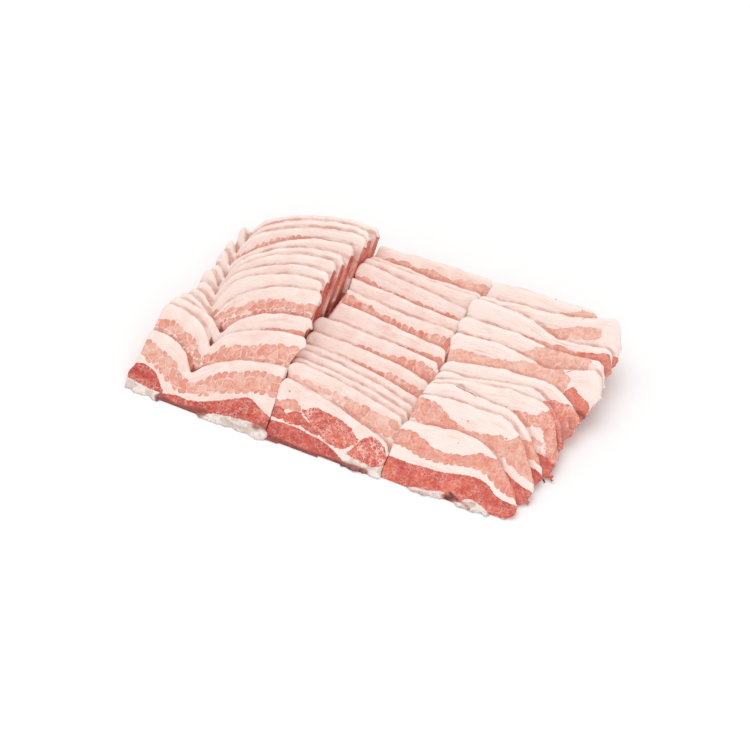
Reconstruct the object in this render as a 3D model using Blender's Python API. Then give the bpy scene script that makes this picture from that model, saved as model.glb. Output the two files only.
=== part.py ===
import math

import bmesh
import bpy

# A block of sliced pork belly in three columns. Every slice leans back on the one behind it.
# X runs along the front edge, Y from the front to the back and Z up. The table is at Z = 0.

MM = 0.001

# Middle of the whole block, seen from above, measured from the left column's front left corner.
CENTRE_X_MM = 128.7
CENTRE_Y_MM = 78.7

# Gap between slices that touch, along the table and at the columns' sides.
SLICE_GAP_MM = 0.55
SIDE_GAP_MM = 1.2

# Rounding of the outer fat edge, and how far up a face its middle line can be.
EDGE_ROUND_MM = 1.4
MOST_WAIST_SHARE = 0.86

# Pitch is the distance between slices along the table and lean their tilt from upright, in degrees.
# The front edge passes front_y at front_at, and waist is the height of each face's middle line.
LEFT_COLUMN = {
    "prefix": "left_slice",
    "pitch": 10.6,
    "lean_front": 58.0,
    "lean_back": 42.0,
    "front_at": 0.0,
    "front_y": 0.0,
    "front_slope": 0.0,
    "waist": 24.0,
}
MIDDLE_COLUMN = {
    "prefix": "middle_slice",
    "pitch": 9.2,
    "lean_front": 58.0,
    "lean_back": 50.0,
    "front_at": 93.0,
    "front_y": 1.0,
    "front_slope": 0.056,
    "waist": 9.0,
}
RIGHT_COLUMN = {
    "prefix": "right_slice",
    "pitch": 11.0,
    "lean_front": 60.0,
    "lean_back": 50.0,
    "front_at": 166.0,
    "front_y": 5.2,
    "front_slope": 0.04,
    "waist": 11.0,
}

# Left column, front to back, in mm: the slices fold into a narrow lobe, a crease and a broad arch.
LOBE_END = (2.0, 1.4, 1.8, 3.8, 5.7, 7.0, 5.0, 6.0, 5.2, 4.6, 7.3, 6.8)
LOBE_HEIGHT = (38.0, 47.0, 44.0, 40.5, 36.5, 34.5, 34.0, 31.0, 32.5, 32.0, 36.0, 27.0)
LOBE_WIDTH_PER_POWER = 10.0
LEAST_LOBE_POWER = 2.4
CREASE_AT = (36.0, 38.0, 39.0, 28.0, 22.5, 19.6, 16.5, 16.0, 12.8, 11.4, 12.2, 10.8)
CREASE_HEIGHT = (21.0, 31.0, 32.0, 29.5, 29.0, 28.0, 24.5, 22.5, 23.0, 22.5, 23.0, 23.0)
CREASE_WIDTH_MM = 3.0
ARCH_FOOT = (24.3, 37.4, 38.8, 41.0, 43.0, 40.0, 35.0, 34.0, 27.0, 34.0, 33.5, 31.0)
ARCH_HEIGHT = (44.0, 55.6, 58.8, 67.0, 65.6, 64.0, 63.6, 60.4, 60.0, 59.4, 56.4, 52.5)
ARCH_END = (92.6, 93.0, 90.0, 87.0, 83.0, 83.2, 82.5, 84.2, 85.6, 89.2, 88.5, 90.5)
ARCH_POWER = 2.2

# Middle column, front to back, in mm: heights at the two ends of each slice and the bow between them.
NEAR_HEIGHT = (37.7, 41.3, 37.0, 35.1, 32.1, 33.2, 36.1, 40.6, 42.5, 43.4, 47.3, 44.4, 39.7, 40.1)
FAR_HEIGHT = (18.4, 29.0, 25.5, 22.5, 20.5, 25.0, 30.0, 32.0, 37.5, 36.8, 37.7, 40.3, 36.4, 39.6)
BOW_HEIGHT = (2.4, 1.5, 2.0, 2.0, 2.0, 2.0, 1.0, 0.0, -1.4, -0.5, 0.0, -0.4, -1.0, 0.3)

# Right column, front to back, in mm: heights at the inner end, at the places along the top, and at the
# shoulder, then the length of the rounded shoulder, the end's height below it and the end's place.
INNER_HEIGHT = (36.0, 44.0, 43.0, 38.0, 35.5, 33.0, 43.0, 45.0, 49.0, 43.0, 45.0)
SECOND_HEIGHT = (37.5, 47.0, 47.0, 43.0, 36.0, 37.0, 43.7, 45.0, 48.5, 45.0, 47.0)
THIRD_HEIGHT = (39.0, 46.5, 44.0, 45.5, 39.5, 39.0, 38.5, 41.5, 40.0, 47.0, 46.5)
SHOULDER_HEIGHT = (38.5, 47.0, 43.5, 44.5, 42.0, 39.5, 46.0, 44.0, 43.6, 54.0, 46.5)
SHOULDER_LENGTH = (38.0, 36.0, 38.0, 20.0, 31.0, 27.0, 8.0, 8.0, 8.0, 9.0, 8.0)
OUTER_HEIGHT = (8.0, 10.0, 9.0, 17.0, 18.0, 25.0, 34.0, 34.0, 36.0, 40.0, 38.0)
OUTER_END = (245.0, 249.0, 250.5, 250.5, 250.5, 251.8, 256.0, 255.0, 254.0, 253.6, 236.0)
SECOND_SHARE = 0.33
THIRD_SHARE = 0.7
SHOULDER_POWER = 1.75

# The outer ends draw in towards the table, the first slices less than the rest.
UNDERCUT_MM = 9.0
UNDERCUT_STEP_MM = 3.0
UNDERCUT_HEIGHT_MM = 14.0

# Side of the middle column that meets the left one, and the right column's inner side: distance from
# the front against distance along the front, in mm.
MIDDLE_START = (
    (0.0, 93.9),
    (36.0, 90.4),
    (60.0, 86.4),
    (86.0, 84.2),
    (98.0, 92.0),
    (126.0, 89.0),
    (150.0, 91.5),
)
MIDDLE_END = ((5.0, 164.2), (50.0, 164.0), (90.0, 164.0), (124.0, 160.6), (140.0, 163.4), (160.0, 166.0))
RIGHT_START = (
    (5.0, 165.6),
    (36.0, 166.0),
    (62.0, 167.0),
    (84.0, 166.2),
    (102.0, 163.2),
    (124.0, 161.8),
    (140.0, 165.0),
    (155.0, 168.6),
)

# Height above which the left column's ends stand clear of the lower middle column, by depth, in mm.
CLEAR_ABOVE = ((0.0, 24.5), (80.0, 24.5), (125.0, 32.0), (150.0, 29.0))
CLEAR_BLEND_MM = 4.0

# Steps along the lobe and the arch, along the middle slices, and along the top and the shoulder.
LEFT_STEPS = (5, 10)
MIDDLE_STEPS = 10
RIGHT_STEPS = (6, 8)

# Corners of a cross-section, how much of a face's height is left at the back at least, and the rounds
# in which a point settles, because the ends depend on its depth and height.
CORNERS = 8
LEAST_BACK_SHARE = 0.35
SETTLING_ROUNDS = 4

PORK_COLOUR = (0.83, 0.55, 0.47, 1.0)
PORK_ROUGHNESS = 0.42


def mix(first, second, share):
    return first + (second - first) * share


def smooth(value):
    value = min(max(value, 0.0), 1.0)
    return value * value * (3.0 - 2.0 * value)


def along(knots, where):
    """The value between the two knots around this place, eased at both."""
    if where <= knots[0][0]:
        return knots[0][1]
    for (start, first), (end, second) in zip(knots, knots[1:]):
        if where <= end:
            return mix(first, second, smooth((where - start) / (end - start)))
    return knots[-1][1]


def lean_at(column, count, order):
    share = order / (count - 1)
    return math.radians(mix(column["lean_front"], column["lean_back"], share))


def place(column, count, x, order, rise):
    """The point at this x, this many slices from the front and this far up along a slice's face."""
    lean = lean_at(column, count, order)
    front = column["front_y"] + column["front_slope"] * (x - column["front_at"])
    y = front + column["pitch"] * order + rise * math.sin(lean)
    return x, y, rise * math.cos(lean)


def left_height(index, x):
    crease = CREASE_AT[index]
    low = CREASE_HEIGHT[index]
    if x < crease:
        width = crease - LOBE_END[index]
        share = max(x - LOBE_END[index], 0.0) / width
        power = max(width / LOBE_WIDTH_PER_POWER, LEAST_LOBE_POWER)
        return low + (LOBE_HEIGHT[index] - low) * (1.0 - share ** power)
    share = min((x - crease) / (ARCH_END[index] - crease), 1.0)
    foot = ARCH_FOOT[index]
    notch = (foot - low) * math.exp(-(x - crease) / CREASE_WIDTH_MM)
    return mix(ARCH_HEIGHT[index], foot, (1.0 - share) ** ARCH_POWER) - notch


def middle_height(index, x):
    start = MIDDLE_START[0][1]
    share = min(max((x - start) / (MIDDLE_END[0][1] - start), 0.0), 1.0)
    bow = BOW_HEIGHT[index] * 4.0 * share * (1.0 - share)
    return mix(NEAR_HEIGHT[index], FAR_HEIGHT[index], share) + bow


def right_height(index, x):
    start = RIGHT_START[0][1]
    shoulder = OUTER_END[index] - SHOULDER_LENGTH[index]
    knots = (
        (start, INNER_HEIGHT[index]),
        (mix(start, shoulder, SECOND_SHARE), SECOND_HEIGHT[index]),
        (mix(start, shoulder, THIRD_SHARE), THIRD_HEIGHT[index]),
        (shoulder, SHOULDER_HEIGHT[index]),
    )
    if x < shoulder:
        return along(knots, x)
    share = min((x - shoulder) / SHOULDER_LENGTH[index], 1.0)
    drop = SHOULDER_HEIGHT[index] - OUTER_HEIGHT[index]
    return OUTER_HEIGHT[index] + drop * (1.0 - share ** SHOULDER_POWER)


def left_ends(index, y, z):
    clear = smooth((z - along(CLEAR_ABOVE, y)) / CLEAR_BLEND_MM)
    pressed = min(ARCH_END[index], along(MIDDLE_START, y) - SIDE_GAP_MM)
    return LOBE_END[index], mix(pressed, ARCH_END[index], clear)


def middle_ends(index, y, z):
    end = min(along(MIDDLE_END, y), along(RIGHT_START, y) - SIDE_GAP_MM)
    return along(MIDDLE_START, y), end


def right_ends(index, y, z):
    undercut = min(UNDERCUT_STEP_MM * (index + 1), UNDERCUT_MM)
    low = 1.0 - min(z / UNDERCUT_HEIGHT_MM, 1.0)
    return along(RIGHT_START, y), OUTER_END[index] - undercut * low * low


def left_stations(index):
    """Shares of the slice's length, closest together beside the crease."""
    lobe_steps, arch_steps = LEFT_STEPS
    crease = (CREASE_AT[index] - LOBE_END[index]) / (ARCH_END[index] - LOBE_END[index])
    lobe = [crease * math.sin(0.5 * math.pi * i / lobe_steps) for i in range(lobe_steps)]
    arch = [mix(crease, 1.0, (i / arch_steps) ** 1.5) for i in range(arch_steps + 1)]
    return lobe + arch


def middle_stations(index):
    return [i / MIDDLE_STEPS for i in range(MIDDLE_STEPS + 1)]


def right_stations(index):
    """Shares of the slice's length, closest together along the rounded shoulder."""
    flat_steps, round_steps = RIGHT_STEPS
    start = RIGHT_START[0][1]
    shoulder = (OUTER_END[index] - SHOULDER_LENGTH[index] - start) / (OUTER_END[index] - start)
    flat = [shoulder * i / flat_steps for i in range(flat_steps)]
    corner = [mix(shoulder, 1.0, math.sin(0.5 * math.pi * i / round_steps)) for i in range(round_steps + 1)]
    return flat + corner


def section(column, count, index, height):
    """One cross-section of a slice, as pairs of an order from the front and a rise along the face."""
    behind = index + 1.0 - SLICE_GAP_MM / column["pitch"]
    slant = column["pitch"] * math.sin(lean_at(column, count, index))
    back = max(height - slant, LEAST_BACK_SHARE * height)
    edge = min(EDGE_ROUND_MM, 0.2 * back)
    waist = min(column["waist"] / math.cos(lean_at(column, count, index)), MOST_WAIST_SHARE * (back - edge))
    return (
        (index, 0.0),
        (index, waist),
        (index, height - edge),
        (mix(index, behind, 0.22), height - 0.12 * slant),
        (mix(index, behind, 0.8), mix(height, back, 0.8)),
        (behind, back - edge),
        (behind, waist),
        (behind, 0.0),
    )


def centred(point):
    x, y, z = point
    return (x - CENTRE_X_MM) * MM, (y - CENTRE_Y_MM) * MM, z * MM


def slice_mesh(name, column, count, index, height_of, ends_of, stations):
    """A closed slice: its cross-section is extruded from station to station along its length."""
    mesh = bpy.data.meshes.new(name)
    shape = bmesh.new()
    rings = []
    for share in stations:
        ring = []
        for slot in range(CORNERS):
            point = (0.0, 0.0, 0.0)
            for _ in range(SETTLING_ROUNDS):
                start, end = ends_of(index, point[1], point[2])
                x = mix(start, end, share)
                order, rise = section(column, count, index, height_of(index, x))[slot]
                point = place(column, count, x, order, rise)
            ring.append(shape.verts.new(centred(point)))
        rings.append(ring)
    for ring, following in zip(rings, rings[1:]):
        for slot in range(CORNERS):
            after = (slot + 1) % CORNERS
            shape.faces.new((ring[slot], ring[after], following[after], following[slot]))
    shape.faces.new(rings[0])
    shape.faces.new(rings[-1])
    bmesh.ops.recalc_face_normals(shape, faces=shape.faces)
    bmesh.ops.triangulate(shape, faces=shape.faces)
    if shape.calc_volume(signed=True) < 0.0:
        bmesh.ops.reverse_faces(shape, faces=shape.faces)
    shape.to_mesh(mesh)
    shape.free()
    return mesh


def pork_material(name):
    material = bpy.data.materials.new(name)
    material.use_nodes = True
    shader = material.node_tree.nodes["Principled BSDF"]
    shader.inputs["Base Color"].default_value = PORK_COLOUR
    shader.inputs["Roughness"].default_value = PORK_ROUGHNESS
    shader.inputs["Metallic"].default_value = 0.0
    return material


def build_column(column, count, height_of, ends_of, stations_of, material):
    for index in range(count):
        name = f"{column['prefix']}_{index + 1:02d}"
        mesh = slice_mesh(name, column, count, index, height_of, ends_of, stations_of(index))
        mesh.materials.append(material)
        mesh.shade_smooth()
        mesh.set_sharp_from_angle(angle=math.radians(35.0))
        piece = bpy.data.objects.new(name, mesh)
        bpy.context.scene.collection.objects.link(piece)


def main():
    for old in list(bpy.data.objects):
        bpy.data.objects.remove(old, do_unlink=True)
    material = pork_material("pork_belly")
    build_column(LEFT_COLUMN, len(ARCH_END), left_height, left_ends, left_stations, material)
    build_column(MIDDLE_COLUMN, len(NEAR_HEIGHT), middle_height, middle_ends, middle_stations, material)
    build_column(RIGHT_COLUMN, len(OUTER_END), right_height, right_ends, right_stations, material)


main()
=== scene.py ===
import math

import bpy
import numpy as np
from mathutils import Matrix, Vector


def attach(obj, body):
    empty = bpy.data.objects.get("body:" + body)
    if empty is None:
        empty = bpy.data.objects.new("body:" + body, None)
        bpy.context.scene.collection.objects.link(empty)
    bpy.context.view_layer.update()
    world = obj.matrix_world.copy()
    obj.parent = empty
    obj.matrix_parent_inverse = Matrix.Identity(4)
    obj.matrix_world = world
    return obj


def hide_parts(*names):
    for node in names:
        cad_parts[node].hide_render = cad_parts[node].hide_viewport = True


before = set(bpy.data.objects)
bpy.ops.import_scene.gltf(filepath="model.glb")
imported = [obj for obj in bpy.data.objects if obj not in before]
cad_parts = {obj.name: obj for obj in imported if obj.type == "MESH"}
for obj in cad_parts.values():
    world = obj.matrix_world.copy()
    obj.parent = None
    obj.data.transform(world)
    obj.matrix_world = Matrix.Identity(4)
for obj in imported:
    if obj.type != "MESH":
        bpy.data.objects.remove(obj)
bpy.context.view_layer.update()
mm = 0.001

# Where the frame's origin lies, in mm from the left column's front left corner. A slice's x is
# measured from that corner too.
originX = 128.7
originY = 78.7


# A layer of lean, seen on a slice's cut face. tops and bottoms are heights up the face in mm, evenly
# spaced from start to end. red goes from 0, peach, to 1, dark red. cell is the lobes' width in mm and
# how many rows of them there are, seam how far they are parted and marble how veined they are.
def layer(start, end, tops, bottoms, red=0.15, cell=(6.5, 1), seam=0.08, marble=0.15):
    return {"start": start, "end": end, "tops": tops, "bottoms": bottoms,
            "red": red, "cell": cell, "seam": seam, "marble": marble}


noLobes = {"cell": (40, 1), "seam": -0.3}


def solid(start, end, tops, bottoms, red, marble=0.15):  # lean without lobes
    return layer(start, end, tops, bottoms, red, marble=marble, **noLobes)


# Columns, in mm and degrees, with their slices counted from 0. pitch is the step from slice to slice
# along the table and lean their tilt from upright, at the front and at the back. The front edge
# passes x and y with a slope. fat is how far below the top edge the hidden lean starts, and blush
# how pink the fat is, at the front and at the back. reach is how far the left and right ends press
# on their neighbours, proud how far the left end stands out of the face, toe how far the first
# slice's foot sticks out at the left, and tuck how far an outer end draws in below. lean ends are
# the slices whose right end shows lean, and the crease entry is how dark the painted shade in the
# crease is.
# Films are the thin skin at the lower edge, given like layers.
# A strand has its start and reach as x, height and depth into the slice, and its radius.
# A line has the x and height of both ends, its half width and its strength.
# Stains have the x and height of their middle, their half width and half height, and their strength.
# Some lines and stains only make the face darker towards its bottom edge.
leftColumn = {
    "prefix": "left_slice", "count": 12, "pitch": 10.6, "lean": (58.0, 42.0), "seed": 1,
    "front": (0.0, 0.0, 0.0),
    "fat": (12, 12, 15, 15, 15, 14, 14, 13, 13, 14, 13, 12), "blush": (0.36, 0.10),
    "reach": (0.3, 0.38), "proud": 0.0, "toe": 2.2, "tuck": {},
    "lean ends": range(4, 12), "crease shade strength": 0.6, "rough end": False, "strands": {},
    "layers": {
        0: [
            layer(-1, 93.5, (32.9, 31.5, 28.7, 25.3, 18.2, 18.8, 27.1, 31.2, 34.6, 37.5, 38.2, 38.3),
                  (22.6, 19.2, 16.4, 11.9, 8.9, 9.6, 12.3, 16.9, 20.2, 23.3, 25.0, 26.3),
                  red=0.25, cell=(4.7, 2.6), seam=0.10, marble=0.12),
            solid(-3, 24.5, (10.6, 16.7, 17.0, 13.7, 6.8),
                  (7.8, 6.6, 5.4, 4.6, 4.9), red=0.82, marble=0.4),
            layer(23, 93, (4.6, 6.6, 6.5, 8.5, 12.4, 16.4, 20.2, 17.0, 13.4),
                  (2.4, -1, -3, -1, 4.0, 5.6, 7.2, 7.8, 6.5),
                  red=0.81, cell=(12, 1), seam=-0.3, marble=0.45),
        ],
        1: [
            layer(-1, 37.5, (37, 38.5, 38.8, 37.2, 34.5, 31.0, 25),
                  (31, 32.0, 31.5, 29, 26.5, 23.5, 19), red=0.26, cell=(5.0, 1)),
            layer(-1, 40, (30.2, 31.4, 30.9, 28.4, 25.9, 23, 18.5),
                  (21, 21, 20, 18, 14, 11, 9), red=0.42, cell=(4.5, 2), seam=0.10, marble=0.4),
            layer(37.5, 93.5, (26, 35.5, 39.3, 42.8, 47.0, 48.7, 49.6),
                  (17, 24, 28.5, 31, 34.5, 36.5, 37), red=0.27, cell=(5.0, 2.1), seam=0.1, marble=0.15),
        ],
        2: [
            layer(61, 92.5, (43.3, 46.8, 49.1, 50.1, 49.0),
                  (38, 39, 40, 40, 40), red=0.34, cell=(9, 1), seam=0.0),
        ],
        3: [
            layer(27, 89, (31.0, 39.9, 46.0, 52.0, 55.6, 57.6, 58.4, 59.4),
                  (27, 34, 40.2, 46.0, 49.8, 52.0, 52.8, 53.8), red=0.27, cell=(6.4, 1)),
            layer(29, 89, (27.2, 34.6, 40.6, 46.2, 50.0, 52.2, 53.0, 54.0),
                  (20, 26, 31, 36, 40, 42, 43, 44), red=0.42, cell=(3.6, 2), seam=0.2, marble=0.7),
        ],
        9: [
            layer(13, 80, (24.0, 33.1, 40.7, 46.4, 49.1, 50.1, 51.2, 51.0),
                  (18, 27, 34, 39, 42, 43, 45, 47), red=0.28, cell=(4.8, 1)),
        ],
    },
    "films": {
        0: [
            layer(-4, 25, (5.4, 6.0, 5.4, 4.4, 3.4), (-2,) * 5),
            layer(49, 94, (1.5, 4.4, 5.8, 6.8, 7.4, 6.2), (-2,) * 6),
        ],
    },
    "lines": {
        0: [
            (24.0, 2.6, 36.0, 0.4, 2.4, 0.62), (36.0, 0.4, 54.0, 3.6, 2.8, 0.6),
            (86.0, 7.0, 93.0, 8.4, 3.2, 0.5),
        ],
    },
    "stains": {
        0: [
            (3, 9.5, 4.0, 1.6, 0.5), (0.3, 9.0, 2.0, 5.0, 0.55), (88, 6.0, 5.0, 4.0, 0.45),
            (37, 0.5, 12, 2.2, 0.45), (50, 1.5, 2.5, 2.2, 0.5), (10, 10.5, 1.2, 1.0, 0.8),
        ],
        4: [(72, 66.0, 1.4, 0.7, 1.0)],
        8: [(60, 57.5, 1.6, 0.7, 0.45)],
    },
}

middleColumn = {
    "prefix": "middle_slice", "count": 14, "pitch": 9.2, "lean": (58.0, 50.0), "seed": 31,
    "front": (93.0, 1.0, 0.056),
    "fat": (12, 9, 13, 13, 13, 13, 13, 14, 11, 12, 14, 13, 12, 9), "blush": (0.34, 0.42),
    "reach": (0.38, 0.34), "proud": 0.8, "toe": 0.0, "tuck": {},
    "lean ends": (), "crease shade strength": 0.0, "rough end": False, "strands": {},
    "layers": {
        0: [
            layer(91.6, 107, (23.6, 27.0, 27.8, 24.8),
                  (21.2, 20.6, 20.6, 22.0), red=0.27, cell=(5, 1), seam=-0.05),
            solid(90, 94.5, (23.5, 24.5, 23.5), (20.0, 20.2, 21.0), red=0.25),
            solid(90.8, 99.8, (18.8, 21.2, 20.6, 18.6),
                  (14.8, 14.4, 14.4, 15.4), red=0.76, marble=0.35),
            layer(99.6, 111.6, (18.6, 21.4, 21.4, 18.8),
                  (14.6, 13.9, 13.9, 15.2), red=0.76, cell=(4, 1), seam=-0.12, marble=0.45),
            layer(109.8, 122.0, (19.0, 17.9, 15.9, 13.9),
                  (14.8, 13.1, 12.2, 11.6), red=0.76, cell=(4, 1), seam=-0.12, marble=0.45),
            layer(108.4, 145.0, (23.2, 26.7, 26.2, 25.4, 24.0, 21.4, 17.0),
                  (22.2, 18.0, 14.0, 11.0, 9.2, 9.2, 14.4),
                  red=0.67, cell=(17, 1), seam=-0.3, marble=0.75),
            solid(142.2, 165.0, (8.4, 18.6, 20.4, 18.6, 15.0),
                  (7.4, 5.8, 5.2, 4.0, 5.6), red=0.64, marble=1.0),
            solid(89, 143, (12.0, 12.6, 12.2, 10.6, 7.8, 2.6), (-3,) * 6, red=0.75, marble=0.3),
        ],
        1: [
            layer(89.5, 129, (34.8, 33.6, 32.8, 32.0, 31.9, 31.6),
                  (29.5, 29.0, 28.4, 28.0, 27.6, 26), red=0.14, cell=(6.0, 1), seam=0.25),
            layer(128, 164.5, (31.8, 30.6, 29.4, 28.2, 26.8),
                  (20, 19, 18, 17, 16), red=0.2, cell=(5.8, 1.8), seam=0.08, marble=0.3),
        ],
        5: [
            layer(112, 164, (24.2, 24.8, 23.2, 24.1, 23.4, 21.0, 19.9),
                  (12,) * 7, red=0.29, cell=(5.4, 1)),
        ],
        6: [
            layer(109, 164, (26.8, 27.3, 26.7, 26.8, 28.5, 28.1, 26.3),
                  (14,) * 7, red=0.31, cell=(5.4, 1), seam=0.08, marble=0.3),
        ],
        7: [layer(126, 164, (26.0, 27.4, 27.6, 27.6), (16,) * 4, red=0.34, cell=(8, 1), seam=0.0)],
        8: [
            layer(90, 164, (40.6, 39.1, 37.7, 35.3, 34.1, 32.8, 32.4, 33.0, 34.2),
                  (24, 24, 23, 22, 21, 20, 20, 20, 20), red=0.33, cell=(5.2, 1), seam=0.1),
        ],
        10: [
            layer(89.5, 163, (39.5, 39.0, 37.0, 36.4, 35.2, 34.0, 33.5, 33.9, 33.2),
                  (25,) * 9, red=0.3, cell=(5.4, 1)),
        ],
        12: [layer(146, 165, (29.0, 30.4, 30.8), (20, 20, 20), red=0.4, cell=(9, 1), seam=0.0)],
        13: [
            layer(95, 167, (33.6, 34.9, 35.6, 34.8, 35.3, 33.2, 35.3, 35.0, 36.6),
                  (20,) * 9, red=0.21, cell=(7, 1), seam=0.04, marble=0.1),
        ],
    },
    "films": {
        0: [
            layer(141, 165, (3.0, 6.0, 5.2, 4.6, 7.4), (-2,) * 5),
            layer(90, 97, (1.6, 1.4, 0.4), (-2, -2, -2)),
        ],
    },
    "lines": {
        0: [
            (91.2, 3.0, 122.0, 0.4, 2.4, 0.62), (112.0, 0.8, 156.0, 0.8, 2.4, 0.62),
            (96.1, 31.4, 96.9, 31.0, 0.5, 0.6),
        ],
        7: [(126.0, 26.0, 160.0, 27.0, 0.4, 0.3)],
    },
    "stains": {
        0: [
            (104, 1.5, 12, 2.4, 0.3), (124, 0.5, 15, 4.0, 0.62), (140, 0.2, 7, 2.6, 0.8),
            (143.5, 26.4, 0.9, 0.5, 0.6),
        ],
        8: [(121, 39.6, 4.2, 0.8, 0.42), (128, 40.2, 1.4, 0.5, 0.5), (140, 38.6, 0.9, 0.5, 0.5)],
        13: [(128, 31, 34, 4.2, 0.3)],
    },
}

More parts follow.
